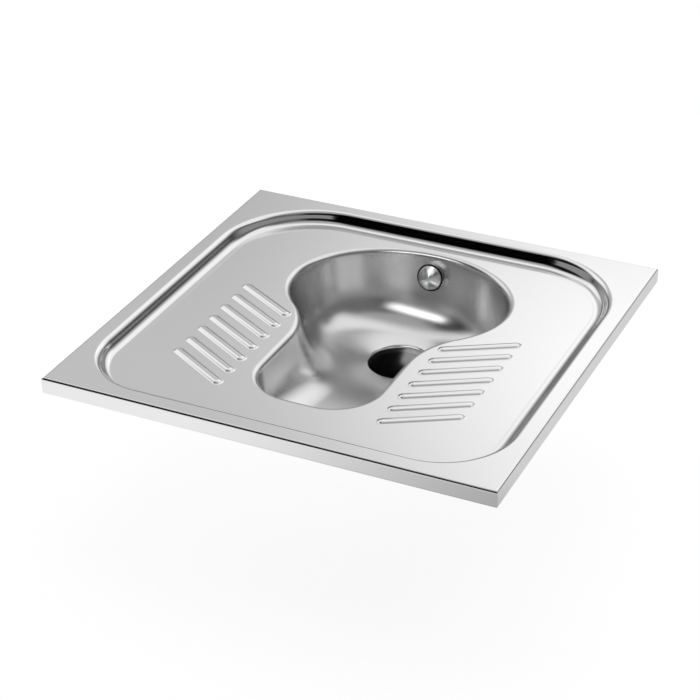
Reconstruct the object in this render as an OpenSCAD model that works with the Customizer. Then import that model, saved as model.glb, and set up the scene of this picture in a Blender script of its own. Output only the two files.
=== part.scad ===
// Stainless steel squat toilet: a pressed deck with a sunken foot area and raised treads,
// a deep-drawn keyhole bowl with a round drain, and a flush inlet behind a domed spreader.
// Millimetres. +Z up, +Y towards the flush inlet. The origin is the middle of the face of
// the return flange that rests on the floor.

/* [Plate] */
// Width of the plate, left to right
plate_w = 600; // [570:5:700]
// Depth of the plate, front to back
plate_d = 580; // [575:5:680]
// Height of the folded-down apron
apron_h = 23; // [20:1:40]
// Thickness of the deck and bowl sheet
sheet_t = 1.5; // [1:0.1:2]
// Outside radius of the apron's folds
fold_r = 2.5; // [2.2:0.1:4]
// Width of the return flange that rests on the floor
flange_w = 15; // [10:1:18]

/* [Foot area] */
// Flat rim beside the sunken area
rim_side = 19.5; // [17:0.5:30]
// Flat rim in front of the sunken area
rim_front = 20; // [17:0.5:30]
// Flat rim behind the sunken area
rim_back = 17; // [16:0.5:20]
// Depth of the sunken area below the rim
foot_depth = 16; // [14.5:0.5:18]
// Radius of the bend at the top of its wall
wall_bend_r = 9; // [6:0.5:10]
// Radius of the bend at the foot of its wall
wall_foot_r = 11.5; // [8:0.5:12]
// Slope of its wall
wall_angle = 68; // [60:1:72]
// Plan radius of its front corners
front_corner_r = 98; // [70:1:110]
// Plan radius of its back corners
back_corner_r = 135; // [90:1:145]

/* [Treads] */
// Number of ribs on each side
rib_count = 7; // [1:1:7]
// Step between ribs, front to back
rib_pitch = 31; // [26:1:32]
// Width of one rib
rib_w = 13; // [10:0.5:16]
// Height of one rib
rib_h = 3; // [2:0.5:4]
// Length between the centres of a rib's round ends
rib_run = 92; // [60:1:96]
// Slant of the ribs
rib_angle = 30; // [15:1:35]
// Distance from the middle of the pan to the middle of a rib
rib_x = 152; // [148:1:160]
// Place of the rearmost ribs' middle, behind the middle of the plate
rib_y = 23; // [10:1:30]

/* [Bowl] */
// Width of the round lobe of the opening
lobe_w = 313; // [290:1:320]
// Length of the round lobe of the opening
lobe_d = 255; // [240:1:262]
// Centre of the round lobe, behind the middle of the plate
lobe_y = 111; // [104:1:114]
// Width of the channel part of the opening
channel_w = 174; // [160:1:180]
// Distance from the middle of the plate to the channel's front end
channel_front = 192.5; // [170:0.5:200]
// Plan radius of the channel's front corners
channel_corner_r = 67; // [65:1:75]
// Plan radius of the neck between lobe and channel
neck_r = 110; // [80:1:130]
// Radius of the rolled edge of the opening
lip_r = 7.5; // [5:0.5:9]
// Slope of the bowl's wall
bowl_wall_angle = 80; // [75:1:84]
// Width of the curved part between wall and floor
bowl_reach = 55; // [45:1:57]
// Depth of the drain's edge below the rim
drain_depth = 122.7; // [110:0.1:150]
// Place of the drain, behind the middle of the plate
drain_y = 115; // [108:1:120]
// Fall of the bowl's floor at the drain
floor_angle = 20; // [12:1:24]
// Distance over which the floor's fall eases
floor_ease = 300; // [200:10:500]
// Radius of the turned-down edge of the drain
drain_lip_r = 5; // [3:0.5:7]
// Length of the straight collar below the drain's edge
collar_len = 6; // [3:0.5:10]

/* [Outlet] */
// Outside diameter of the outlet spigot
outlet_d = 88.9; // [80:0.1:94]
// Wall of the outlet spigot
outlet_wall = 2; // [1.6:0.1:3]
// Length of the outlet spigot
outlet_len = 90; // [50:1:120]

/* [Flush inlet] */
// Depth of the inlet's axis below the rim
inlet_depth = 46.5; // [44:0.5:60]
// Outside diameter of the inlet spigot
inlet_d = 35; // [32:0.5:38]
// Wall of the inlet spigot
inlet_wall = 1.5; // [1.2:0.1:2]
// Distance from the middle of the plate to the back end of the inlet spigot
inlet_end = 282; // [275:1:320]
// Length of the spigot that shows inside the bowl
inlet_proud = 1; // [0.5:0.5:2]
// Wall of the rubber seal inside the spigot
seal_wall = 1.85; // [1.2:0.05:3]
// Length of the seal inside the spigot
seal_len = 20; // [12:1:22]
// Thickness of the seal's collar outside the spigot
seal_collar = 3; // [2:0.5:4]

/* [Spreader] */
// Diameter of the domed cap
cap_d = 38.5; // [34:0.5:42]
// Height of the domed cap
cap_h = 14.5; // [12:0.5:18]
// Height of the straight skirt of the cap
cap_skirt = 5; // [3:0.5:7]
// Wall of the domed cap
cap_wall = 1.5; // [1.2:0.1:2]
// Water gap between the cap and the end of the inlet spigot
cap_gap = 3; // [2:0.1:4]
// Diameter of the stud
stud_d = 6; // [5:0.5:8]
// Distance from the spigot's front end to the crossbar
bar_inset = 12; // [10:1:14]
// Height of the crossbar
bar_h = 12; // [10:0.5:14]
// Thickness of the crossbar
bar_t = 3; // [2:0.5:4]

/* [Fixing] */
// Clear space between a stiffening channel and an anchor lug
anchor_gap = 16.5; // [5:0.5:18]
// Distance from the plate's front and back edges to the middle of the anchor holes
anchor_end = 90; // [85:1:100]
// Diameter of the anchor holes
anchor_hole_d = 9; // [6:0.5:12]
// Drop of the anchor lugs below the deck
anchor_drop = 34; // [20:1:50]
// Thickness of the anchor lugs
anchor_t = 2; // [1.5:0.5:4]
// Width of the anchor lugs
anchor_w = 26; // [20:1:30]

/* [Underside] */
// Width of the stiffening channels over their flanges
stiffener_w = 54; // [44:1:60]
// Height of the stiffening channels
stiffener_h = 16; // [10:1:20]
// Length of the stiffening channels
stiffener_len = 228; // [150:1:240]
// Thickness of the stiffening channels
stiffener_t = 1.2; // [0.8:0.1:2]
// Thickness of the damping pads
pad_t = 3; // [2:0.5:5]
// Width of the damping pads
pad_w = 42; // [30:1:44]
// Length of the side damping pads
pad_len = 250; // [150:1:280]
// Length of the front damping pad
front_pad_len = 190; // [100:1:220]
// Diameter of the earth bolt
earth_d = 6; // [5:1:8]
// Length of the earth bolt's shank
earth_len = 16; // [14:1:25]

/* [Hidden] */
$fn = 64;

// Clearance of a piece that is pushed in and welded or clamped
fit_gap = 0.15;
// Clearance between a threaded piece and what it screws into
thread_gap = 0.1;
// Clearance of a bolt in its hole
hole_gap = 0.3;
// Overlap of cutting bodies
cut = 1;

steel = [0.78, 0.79, 0.80];
chromed = [0.86, 0.87, 0.88];
black_rubber = [0.12, 0.12, 0.13];
pad_grey = [0.25, 0.25, 0.26];
brass_yellow = [0.75, 0.62, 0.32];

// Levels
rim_z = apron_h;
deck_z = rim_z - foot_depth;
deck_under_z = deck_z - sheet_t;
drain_z = rim_z - drain_depth;
inlet_z = rim_z - inlet_depth;

// Limits of the sunken area at its upper edge
foot_x = plate_w / 2 - rim_side;
foot_front = -plate_d / 2 + rim_front;
foot_back = plate_d / 2 - rim_back;

// The wall of the sunken area: two bends joined by a straight piece
bend_steps = 5;
wall_straight = (foot_depth - (wall_bend_r + wall_foot_r) * (1 - cos(wall_angle))) / sin(wall_angle);
wall_run = (wall_bend_r + wall_foot_r) * sin(wall_angle) + wall_straight * cos(wall_angle);

function last(list) = list[len(list) - 1];

// Points of an arc: centre, radius, first and last angle
function arc(c, r, a0, a1, steps = bend_steps) = [
    for (k = [0:steps]) let (a = a0 + (a1 - a0) * k / steps) c + r * [cos(a), sin(a)]
];

// ---- Deck ----------------------------------------------------------------------

// Upper surface of the wall of the sunken area as [distance inwards, depth below the rim],
// moved by skin along its own normal into the sheet
function wall_line(skin) = concat(
    [for (p = arc([0, 0], wall_bend_r - skin, 90, 90 - wall_angle)) [p[0], wall_bend_r - p[1]]],
    [for (p = arc([0, 0], wall_foot_r + skin, 90 - wall_angle, 90))
        [wall_run - p[0], foot_depth - wall_foot_r + p[1]]]);

// Section of the space above the wall: the wall is at x = outer, the middle at x = 0
function foot_section(outer, skin) = concat(
    [[outer, rim_z + cut], [0, rim_z + cut], [0, rim_z - last(wall_line(skin))[1]]],
    [for (k = [len(wall_line(skin)) - 1:-1:0])
        [outer - wall_line(skin)[k][0], rim_z - wall_line(skin)[k][1]]]);

// Straight stretch of the space above the wall, from one corner's centre to the next
module foot_side(from, to, angle, depth, skin) {
    length = norm(to - from);
    translate([from[0], from[1], 0])
        rotate([0, 0, angle])
            rotate([90, 0, 0])
                translate([0, 0, -length])
                    linear_extrude(length) polygon(foot_section(depth, skin));
}

// Space above the sunken area, with its surface moved by skin into the sheet
module foot_space(skin) {
    fr = front_corner_r;
    br = back_corner_r;
    corners = [
        [foot_x - br, foot_back - br, br],
        [-foot_x + br, foot_back - br, br],
        [-foot_x + fr, foot_front + fr, fr],
        [foot_x - fr, foot_front + fr, fr]];
    for (i = [0:3])
        translate([corners[i][0], corners[i][1], 0])
            rotate_extrude(angle = 90, start = 90 * i)
                polygon(foot_section(corners[i][2], skin));
    small = min(fr, br);
    side_top = foot_back - br;
    side_foot = foot_front + fr;
    foot_side([foot_x - small, side_foot], [foot_x - small, side_top], 0, small, skin);
    foot_side([foot_x - br, foot_back - br], [-foot_x + br, foot_back - br], 90, br, skin);
    foot_side([-foot_x + small, side_top], [-foot_x + small, side_foot], 180, small, skin);
    foot_side([-foot_x + fr, foot_front + fr], [foot_x - fr, foot_front + fr], 270, fr, skin);
    translate([-foot_x + small, side_foot, deck_z - skin])
        cube([2 * (foot_x - small), side_top - side_foot, foot_depth + skin + cut]);
}

// Block with bent upper and lower edges and sharp mitred corners, standing on z = lowest
function bar_section(w, h, r) = concat(
    arc([w / 2 - r, r], r, -90, 0), arc([w / 2 - r, h - r], r, 0, 90),
    arc([-w / 2 + r, h - r], r, 90, 180), arc([-w / 2 + r, r], r, 180, 270));

module mitred_block(w, d, h, r) {
    intersection() {
        translate([0, d / 2, 0])
            rotate([90, 0, 0])
                linear_extrude(d) polygon(bar_section(w, h, r));
        translate([-w / 2, 0, 0])
            rotate([90, 0, 90])
                linear_extrude(w) polygon(bar_section(d, h, r));
    }
}

// The ribs are round-topped, round-ended beads: an arc carried straight, and turned at both ends
rib_r = (rib_w * rib_w / 4 + rib_h * rib_h) / (2 * rib_h);
rib_axis_z = deck_z + rib_h - rib_r;

// Half section of a bead down to z = lowest, with the bead's middle at x = 0
function bead_half(r, lowest) = arc([0, rib_axis_z], r, 90, asin((lowest - rib_axis_z) / r));

module bead(r, lowest) {
    half = bead_half(r, lowest);
    mirrored = [for (k = [len(half) - 1:-1:1]) [-half[k][0], half[k][1]]];
    rotate([90, 0, 90])
        translate([0, 0, -rib_run / 2])
            linear_extrude(rib_run) polygon(concat(mirrored, half));
    for (side = [-1, 1])
        translate([side * rib_run / 2, 0, 0])
            rotate_extrude(angle = 180, start = -90 * side)
                polygon(concat([[0, lowest]], half));
}

module beads(r, lowest) {
    for (side = [-1, 1])
        for (i = [0:rib_count - 1])
            translate([side * rib_x, rib_y - i * rib_pitch, 0])
                rotate([0, 0, side * rib_angle])
                    bead(r, lowest);
}

module deck() {
    inner_w = plate_w - 2 * sheet_t;
    inner_d = plate_d - 2 * sheet_t;
    color(steel)
        difference() {
            union() {
                difference() {
                    mitred_block(plate_w, plate_d, apron_h, fold_r);
                    foot_space(0);
                    difference() {
                        translate([0, 0, sheet_t])
                            mitred_block(inner_w, inner_d, apron_h - 2 * sheet_t, fold_r - sheet_t);
                        foot_space(sheet_t);
                    }
                    translate([-plate_w / 2 + flange_w, -plate_d / 2 + flange_w, -cut])
                        cube([plate_w - 2 * flange_w, plate_d - 2 * flange_w, sheet_t + 2 * cut]);
                    translate([0, 0, deck_under_z - cut])
                        linear_extrude(sheet_t + 2 * cut) polygon([for (p = opening) [p[0], p[1]]]);
                }
                beads(rib_r, deck_under_z + sheet_t / 2);
            }
            beads(rib_r - sheet_t, deck_under_z - cut);
        }
}

// ---- Bowl ----------------------------------------------------------------------

lobe_a = lobe_w / 2;
lobe_b = lobe_d / 2;
channel_half = channel_w / 2;
drain = [0, drain_y];

// Numbers of steps along half of the opening
lobe_steps = 18;
neck_steps = 5;
channel_steps = 3;
corner_steps = 5;

function lobe_point(t) = [lobe_a * cos(t), lobe_y + lobe_b * sin(t)];
function lobe_normal(t) = let (v = [lobe_b * cos(t), lobe_a * sin(t)]) v / norm(v);
function neck_centre(t) = lobe_point(t) + neck_r * lobe_normal(t);

// Angle on the lobe where the neck's arc starts, so that it also meets the channel's side
function neck_angle(lo, hi, rounds = 30) =
    let (mid = (lo + hi) / 2)
    rounds == 0 ? mid
    : neck_centre(mid)[0] > channel_half + neck_r ? neck_angle(lo, mid, rounds - 1)
    : neck_angle(mid, hi, rounds - 1);

neck_t = neck_angle(-89, 0);
neck_c = neck_centre(neck_t);
neck_n = lobe_normal(neck_t);
neck_a = atan2(-neck_n[1], -neck_n[0]);
corner_c = [channel_half - channel_corner_r, channel_corner_r - channel_front];

// Right half of the opening, from its back to its front, as [x, y, normal x, normal y]
half_opening = concat(
    [for (k = [0:lobe_steps])
        let (t = 90 + (neck_t - 90) * k / lobe_steps, p = lobe_point(t), n = lobe_normal(t))
        [p[0], p[1], n[0], n[1]]],
    [for (k = [1:neck_steps])
        let (a = neck_a + (180 - neck_a) * k / neck_steps)
        [neck_c[0] + neck_r * cos(a), neck_c[1] + neck_r * sin(a), -cos(a), -sin(a)]],
    [for (k = [1:channel_steps])
        [channel_half, neck_c[1] + (corner_c[1] - neck_c[1]) * k / channel_steps, 1, 0]],
    [for (k = [1:corner_steps])
        let (a = -90 * k / corner_steps)
        [corner_c[0] + channel_corner_r * cos(a), corner_c[1] + channel_corner_r * sin(a),
            cos(a), sin(a)]],
    [[0, -channel_front, 0, -1]]);
half_count = len(half_opening);
opening = concat(half_opening,
    [for (k = [half_count - 2:-1:1])
        let (p = half_opening[k]) [-p[0], p[1], -p[2], p[3]]]);
opening_count = len(opening);

// Height of the floor at a place, its slope away from the drain and its downward normal
outlet_inner_r = outlet_d / 2 - outlet_wall;
drain_bend_r = outlet_inner_r + drain_lip_r;
drain_edge_r = drain_bend_r - drain_lip_r * sin(floor_angle);
function beyond_drain(p) = norm(p - drain) - drain_edge_r;
function floor_z(p) =
    let (d = beyond_drain(p)) drain_z + tan(floor_angle) * d / (1 + d / floor_ease);
function floor_slope(p) = tan(floor_angle) / pow(1 + beyond_drain(p) / floor_ease, 2);
function floor_down(p) =
    let (u = (p - drain) / norm(p - drain) * floor_slope(p), v = [u[0], u[1], -1]) v / norm(v);

// The wall's section at an edge point e: a rolled edge, then a cubic curve to the floor
lip_run = lip_r * sin(bowl_wall_angle);
lip_drop = lip_r * (1 - cos(bowl_wall_angle));
curve_pull = 0.62;
function inwards(e, s) = [e[0] - e[2] * s, e[1] - e[3] * s];
function wall_foot(e) = inwards(e, lip_run + bowl_reach);
function wall_curve(e) =
    let (
        top = [lip_run, deck_z - lip_drop],
        q = wall_foot(e),
        foot = [lip_run + bowl_reach, floor_z(q)],
        fall = -floor_slope(q) * ((q - drain) * [e[2], e[3]]) / norm(q - drain),
        drop = top[1] - foot[1])
    [top,
        top + curve_pull * drop * [cos(bowl_wall_angle), -sin(bowl_wall_angle)],
        foot - curve_pull * bowl_reach * [1, fall],
        foot];
function curve_point(c, t) =
    pow(1 - t, 3) * c[0] + 3 * pow(1 - t, 2) * t * c[1] + 3 * (1 - t) * t * t * c[2] + pow(t, 3) * c[3];
function curve_way(c, t) =
    let (v = pow(1 - t, 2) * (c[1] - c[0]) + 2 * (1 - t) * t * (c[2] - c[1]) + t * t * (c[3] - c[2]))
    v / norm(v);

// One point of the bowl, skin deep in the sheet. Stations run from the edge to the collar.
lip_steps = 4;
curve_steps = 8;
floor_steps = 5;
drain_steps = 3;
stations = lip_steps + curve_steps + floor_steps + drain_steps + 2;

function lip_at(e, k, skin) =
    let (a = bowl_wall_angle * k / lip_steps, q = inwards(e, (lip_r - skin) * sin(a)))
    [q[0], q[1], deck_z - lip_r + (lip_r - skin) * cos(a)];
function curve_at(e, k, skin) =
    let (
        c = wall_curve(e),
        way = curve_way(c, k / curve_steps),
        p = curve_point(c, k / curve_steps) + skin * [way[1], -way[0]],
        q = inwards(e, p[0]))
    [q[0], q[1], p[1]];
function drain_way(i) = let (v = wall_foot(opening[i]) - drain) v / norm(v);
function floor_at(e, i, k, skin) =
    let (
        share = k / floor_steps,
        q = wall_foot(e) * (1 - share) + (drain + drain_edge_r * drain_way(i)) * share,
        n = floor_down(q))
    [q[0], q[1], floor_z(q)] + skin * n;
function drain_at(i, k, skin) =
    let (
        a = floor_angle + (90 - floor_angle) * min(k, drain_steps) / drain_steps,
        r = drain_bend_r - (drain_lip_r - skin) * sin(a),
        q = drain + r * drain_way(i),
        centre_z = drain_z - drain_lip_r * cos(floor_angle))
    [q[0], q[1], k > drain_steps ? centre_z - collar_len : centre_z + (drain_lip_r - skin) * cos(a)];
function bowl_at(i, k, skin) =
    let (
        e = opening[i],
        k1 = k - lip_steps,
        k2 = k1 - curve_steps,
        k3 = k2 - floor_steps)
    k1 <= 0 ? lip_at(e, k, skin)
    : k2 <= 0 ? curve_at(e, k1, skin)
    : k3 <= 0 ? floor_at(e, i, k2, skin)
    : drain_at(i, k3, skin);
collar_z = drain_z - drain_lip_r * cos(floor_angle) - collar_len;

// The sheet is one closed band of rings: up its back face and down its front face
module bowl_sheet() {
    rings = 2 * stations;
    points = [
        for (k = [0:rings - 1])
            for (i = [0:opening_count - 1])
                k < stations ? bowl_at(i, stations - 1 - k, sheet_t) : bowl_at(i, k - stations, 0)];
    faces = [
        for (k = [0:rings - 1])
            for (i = [0:opening_count - 1])
                let (
                    a = k * opening_count,
                    b = (k + 1) % rings * opening_count,
                    j = (i + 1) % opening_count)
                each [[a + i, a + j, b + j], [a + i, b + j, b + i]]];
    polyhedron(points, faces);
}

module bowl() {
    color(steel)
        difference() {
            bowl_sheet();
            translate([0, inlet_face_y - bowl_reach, inlet_z])
                rotate([-90, 0, 0])
                    cylinder(h = 2 * bowl_reach, r = inlet_d / 2 + fit_gap);
        }
}

module outlet_spigot() {
    color(steel)
        translate([0, drain_y, collar_z - outlet_len])
            difference() {
                cylinder(h = outlet_len, d = outlet_d);
                translate([0, 0, -cut]) cylinder(h = outlet_len + 2 * cut, r = outlet_inner_r);
            }
}

// ---- Flush inlet and spreader ----------------------------------------------------

// Place and slope of the bowl's back wall where the inlet's axis meets it
back_curve = wall_curve(opening[0]);
function curve_share(z, lo, hi, rounds = 30) =
    let (mid = (lo + hi) / 2)
    rounds == 0 ? mid
    : curve_point(back_curve, mid)[1] < z ? curve_share(z, lo, mid, rounds - 1)
    : curve_share(z, mid, hi, rounds - 1);
inlet_share = curve_share(inlet_z, 0, 1);
inlet_face_y = opening[0][1] - curve_point(back_curve, inlet_share)[0];
inlet_way = curve_way(back_curve, inlet_share);
wall_lean = 90 - atan2(-inlet_way[1], inlet_way[0]);

inlet_inner_r = inlet_d / 2 - inlet_wall;

// Frame with its origin where the inlet's axis meets the wall and +Z square to the wall
module at_wall() {
    translate([0, inlet_face_y, inlet_z])
        rotate([90 - wall_lean, 0, 0])
            children();
}

module inlet_spigot() {
    far = inlet_end - inlet_face_y + inlet_d;
    color(steel)
        difference() {
            translate([0, inlet_face_y - inlet_d, inlet_z])
                rotate([-90, 0, 0])
                    difference() {
                        cylinder(h = far, d = inlet_d);
                        translate([0, 0, -cut]) cylinder(h = far + 2 * cut, r = inlet_inner_r);
                    }
            at_wall()
                translate([-inlet_d, -inlet_d, inlet_proud])
                    cube([2 * inlet_d, 2 * inlet_d, 2 * inlet_d]);
        }
}

module inlet_seal() {
    seal_r = inlet_inner_r - fit_gap;
    color(black_rubber)
        translate([0, inlet_end, inlet_z])
            rotate([-90, 0, 0])
                difference() {
                    union() {
                        translate([0, 0, -seal_len]) cylinder(h = seal_len + seal_collar, r = seal_r);
                        cylinder(h = seal_collar, d = inlet_d);
                    }
                    translate([0, 0, -seal_len - cut])
                        cylinder(h = seal_len + seal_collar + 2 * cut, r = seal_r - seal_wall);
                }
}

// Half section of the cap, its wall moved inwards by skin
cap_r = cap_d / 2;
cap_dome_h = cap_h - cap_skirt;
cap_dome_r = (cap_r * cap_r + cap_dome_h * cap_dome_h) / (2 * cap_dome_h);
cap_base = inlet_proud + cap_gap;
boss_wall = 2.5;
boss_d = stud_d + 2 * boss_wall;
boss_len = 4.5;
stud_proud = 2;
washer_t = 1.2;

// Heights and widths of nuts and bolt heads as shares of their thread
nut_height_share = 0.8;
head_height_share = 0.7;
nut_width_share = 1.667;
washer_share = 2;
nut_h = nut_height_share * stud_d;
nut_w = nut_width_share * stud_d;
bar_front = inlet_proud - bar_inset;
bar_back = bar_front - bar_t;

function dome_z(r, skin) = cap_base + cap_h - cap_dome_r
    + sqrt(pow(cap_dome_r - skin, 2) - r * r);

module cap_solid(skin) {
    intersection() {
        translate([0, 0, cap_base + cap_h - cap_dome_r]) sphere(cap_dome_r - skin);
        translate([0, 0, skin > 0 ? cap_base - cut : cap_base]) cylinder(h = cap_h + cut, r = cap_r - skin);
    }
}

module spreader_cap() {
    boss_top = dome_z(0, cap_wall);
    color(chromed)
        at_wall()
            difference() {
                union() {
                    difference() {
                        cap_solid(0);
                        cap_solid(cap_wall);
                    }
                    translate([0, 0, boss_top - boss_len]) cylinder(h = boss_len + cap_wall / 2, d = boss_d);
                }
                translate([0, 0, boss_top - boss_len - cut])
                    cylinder(h = boss_len, d = stud_d + 2 * thread_gap);
            }
}

module spreader_stud() {
    low = bar_back - washer_t - nut_h - stud_proud;
    high = dome_z(0, cap_wall) - cut;
    color(chromed)
        at_wall()
            translate([0, 0, low]) cylinder(h = high - low, d = stud_d);
}

module spreader_crossbar() {
    color(steel)
        intersection() {
            at_wall()
                translate([-inlet_d, -bar_h / 2, bar_back])
                    difference() {
                        cube([2 * inlet_d, bar_h, bar_t]);
                        translate([inlet_d, bar_h / 2, -cut])
                            cylinder(h = bar_t + 2 * cut, d = stud_d + 2 * hole_gap);
                    }
            translate([0, inlet_face_y - inlet_d, inlet_z])
                rotate([-90, 0, 0]) cylinder(h = 3 * inlet_d, r = inlet_inner_r - fit_gap);
        }
}

module washer(d, t, outer) {
    difference() {
        cylinder(h = t, d = outer);
        translate([0, 0, -cut]) cylinder(h = t + 2 * cut, d = d + 2 * hole_gap);
    }
}

module hex_nut(d, h, w) {
    difference() {
        cylinder(h = h, d = w / cos(30), $fn = 6);
        translate([0, 0, -cut]) cylinder(h = h + 2 * cut, d = d + 2 * thread_gap);
    }
}

module spreader_washer() {
    color(steel)
        at_wall()
            translate([0, 0, bar_back - washer_t]) washer(stud_d, washer_t, washer_share * stud_d);
}

module spreader_nuts() {
    color(steel)
        at_wall() {
            translate([0, 0, bar_front]) hex_nut(stud_d, nut_h, nut_w);
            translate([0, 0, bar_back - washer_t - nut_h]) hex_nut(stud_d, nut_h, nut_w);
        }
}

// ---- Stiffeners and damping pads -------------------------------------------------

// The middle of each channel lies under the ribs, its back end just short of the lobe
stiffener_offset = 3;
stiffener_x = rib_x + stiffener_offset;
stiffener_back = neck_c[1] + neck_r * sin(neck_a);
hat_flange = 10;

module stiffener(side) {
    w = stiffener_w / 2;
    hat = w - hat_flange;
    t = stiffener_t;
    low = deck_under_z - stiffener_h;
    top = deck_under_z;
    section = [
        [-w, top], [-hat, top], [-hat, low + t], [hat, low + t], [hat, top], [w, top],
        [w, top - t], [hat + t, top - t], [hat + t, low], [-hat - t, low], [-hat - t, top - t],
        [-w, top - t]];
    color(steel)
        translate([side * stiffener_x, stiffener_back, 0])
            rotate([90, 0, 0]) linear_extrude(stiffener_len) polygon(section);
}

module stiffener_left() { stiffener(-1); }
module stiffener_right() { stiffener(1); }

// The pads are glued to the flat of the deck, between the ribs and the foot of its wall
rib_reach = rib_x + (rib_run * cos(rib_angle) + rib_w) / 2;
flat_x = foot_x - wall_run;
pad_x = (rib_reach + flat_x) / 2;
front_pad_y = (foot_front + wall_run - channel_front) / 2;
front_pad_gap = 4;
front_pad_w = min(pad_w, -channel_front - foot_front - wall_run - front_pad_gap);

module side_pad(side) {
    color(pad_grey)
        translate([side * pad_x - pad_w / 2, -pad_len / 2, deck_under_z - pad_t])
            cube([pad_w, pad_len, pad_t]);
}

module damping_pad_left() { side_pad(-1); }
module damping_pad_right() { side_pad(1); }

module damping_pad_front() {
    color(pad_grey)
        translate([-front_pad_len / 2, front_pad_y - front_pad_w / 2, deck_under_z - pad_t])
            cube([front_pad_len, front_pad_w, pad_t]);
}

// ---- Fixing lugs -----------------------------------------------------------------

// Folded strip: a tab under the deck, a leg down and a foot back inwards with the hole
lug_leg = 19;
lug_foot = 34;
lug_tab = 25.5;
anchor_x = 2 * (stiffener_x + stiffener_w / 2 + anchor_gap + lug_tab - lug_leg);
anchor_y = plate_d - 2 * anchor_end;
lug_bend_r = 2 * anchor_t;

module anchor_lug(x_side, y_side) {
    leg_x = anchor_x / 2 + lug_leg;
    foot_z = deck_under_z - anchor_drop;
    top = deck_under_z;
    r = lug_bend_r;
    section = concat(
        [[leg_x - lug_tab, top]],
        arc([leg_x - r, top - r], r, 90, 0),
        arc([leg_x - r, foot_z + r], r, 0, -90),
        [[leg_x - lug_foot, foot_z], [leg_x - lug_foot, foot_z + anchor_t]],
        arc([leg_x - r, foot_z + r], r - anchor_t, -90, 0),
        arc([leg_x - r, top - r], r - anchor_t, 0, 90),
        [[leg_x - lug_tab, top - anchor_t]]);
    color(steel)
        mirror([x_side < 0 ? 1 : 0, 0, 0])
            difference() {
                translate([0, y_side * anchor_y / 2 + anchor_w / 2, 0])
                    rotate([90, 0, 0]) linear_extrude(anchor_w) polygon(section);
                translate([anchor_x / 2, y_side * anchor_y / 2, foot_z - cut])
                    cylinder(h = anchor_t + 2 * cut, d = anchor_hole_d);
            }
}

module anchor_lug_front_left() { anchor_lug(-1, -1); }
module anchor_lug_front_right() { anchor_lug(1, -1); }
module anchor_lug_back_left() { anchor_lug(-1, 1); }
module anchor_lug_back_right() { anchor_lug(1, 1); }

// ---- Earth bonding point ---------------------------------------------------------

tag_w = 20;
tag_t = 2;
tag_drop = 25;
tag_bolt_drop = 15;
tag_inset = 17;
tag_gap = 3;
tag_x = -(anchor_x / 2 - tag_inset);
tag_y = anchor_y / 2 - anchor_w / 2 - tag_w / 2 - tag_gap;
tag_bolt_z = deck_under_z - tag_bolt_drop;
earth_washer_t = 1.6;
earth_head_h = head_height_share * earth_d;
earth_width = nut_width_share * earth_d;

module at_tag(x) {
    translate([x, tag_y, tag_bolt_z]) rotate([0, 90, 0]) children();
}

module earth_tag() {
    color(steel)
        difference() {
            union() {
                translate([tag_x, tag_y - tag_w / 2, deck_under_z - tag_t]) cube([tag_w, tag_w, tag_t]);
                translate([tag_x, tag_y - tag_w / 2, deck_under_z - tag_drop])
                    cube([tag_t, tag_w, tag_drop]);
            }
            at_tag(tag_x - cut) cylinder(h = tag_t + 2 * cut, d = earth_d + 2 * hole_gap);
        }
}

module earth_bolt() {
    color(brass_yellow)
        at_tag(tag_x + tag_t + earth_washer_t) {
            cylinder(h = earth_head_h, d = earth_width / cos(30), $fn = 6);
            translate([0, 0, -earth_len]) cylinder(h = earth_len + cut, d = earth_d);
        }
}

module earth_washers() {
    color(brass_yellow) {
        at_tag(tag_x + tag_t) washer(earth_d, earth_washer_t, washer_share * earth_d);
        at_tag(tag_x - earth_washer_t) washer(earth_d, earth_washer_t, washer_share * earth_d);
    }
}

module earth_nut() {
    h = nut_height_share * earth_d;
    color(brass_yellow)
        at_tag(tag_x - earth_washer_t - h) hex_nut(earth_d, h, earth_width);
}

deck();
bowl();
outlet_spigot();
inlet_spigot();
inlet_seal();
spreader_cap();
spreader_stud();
spreader_crossbar();
spreader_washer();
spreader_nuts();
anchor_lug_front_left();
anchor_lug_front_right();
anchor_lug_back_left();
anchor_lug_back_right();
stiffener_left();
stiffener_right();
damping_pad_left();
damping_pad_right();
damping_pad_front();
earth_tag();
earth_bolt();
earth_washers();
earth_nut();
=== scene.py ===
from math import atan2, cos, hypot, pi, radians, sin, sqrt, tan

import bmesh
import bpy
from mathutils import Matrix, Vector


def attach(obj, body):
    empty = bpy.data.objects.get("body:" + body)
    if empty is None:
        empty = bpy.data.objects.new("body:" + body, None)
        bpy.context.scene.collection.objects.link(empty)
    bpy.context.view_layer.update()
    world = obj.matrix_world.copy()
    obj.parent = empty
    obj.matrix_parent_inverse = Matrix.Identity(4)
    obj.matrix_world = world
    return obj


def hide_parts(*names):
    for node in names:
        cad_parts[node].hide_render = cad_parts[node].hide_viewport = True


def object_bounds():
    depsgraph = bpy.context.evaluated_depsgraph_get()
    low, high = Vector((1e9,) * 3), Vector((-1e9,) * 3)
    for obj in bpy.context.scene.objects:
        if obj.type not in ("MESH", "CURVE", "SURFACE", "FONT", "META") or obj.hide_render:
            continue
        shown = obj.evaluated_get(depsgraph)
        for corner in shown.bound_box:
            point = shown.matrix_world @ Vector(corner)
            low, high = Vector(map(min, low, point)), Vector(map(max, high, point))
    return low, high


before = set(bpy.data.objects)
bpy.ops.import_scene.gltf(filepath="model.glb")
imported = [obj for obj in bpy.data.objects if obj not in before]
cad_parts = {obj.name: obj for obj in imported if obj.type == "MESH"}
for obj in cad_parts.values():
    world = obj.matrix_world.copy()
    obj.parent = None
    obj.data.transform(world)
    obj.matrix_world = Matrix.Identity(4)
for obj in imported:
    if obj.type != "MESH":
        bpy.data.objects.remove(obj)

cad_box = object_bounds()

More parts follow.
